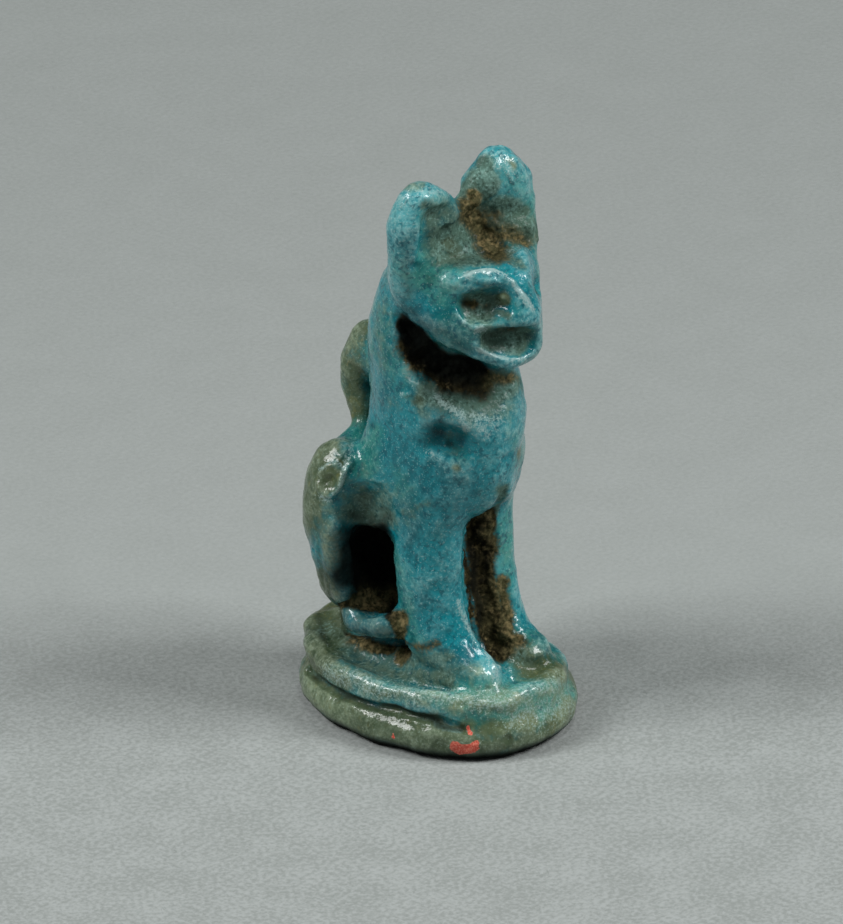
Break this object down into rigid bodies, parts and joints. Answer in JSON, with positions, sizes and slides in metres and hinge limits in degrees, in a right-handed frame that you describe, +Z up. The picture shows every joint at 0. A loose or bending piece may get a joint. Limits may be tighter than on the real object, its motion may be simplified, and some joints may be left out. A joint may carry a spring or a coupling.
{
  "type": "cat amulet",
  "caption": "Small seated cat amulet of glazed faience on a stepped oval plinth, with a suspension loop standing off its back.",
  "frame": {"origin": "centre of the plinth's flat underside, at ground level", "axes": "+Z up, -Y the way the cat faces, +X the cat's left"},
  "size_m": [0.007, 0.0088, 0.018],
  "materials": {
    "faience": "worn turquoise glaze, satin with small bright glints, olive where it is altered and packed with brown soil in the hollows"
  },
  "bodies": {
    "root": {"cat_amulet": "faience"}
  },
  "joints": []
}
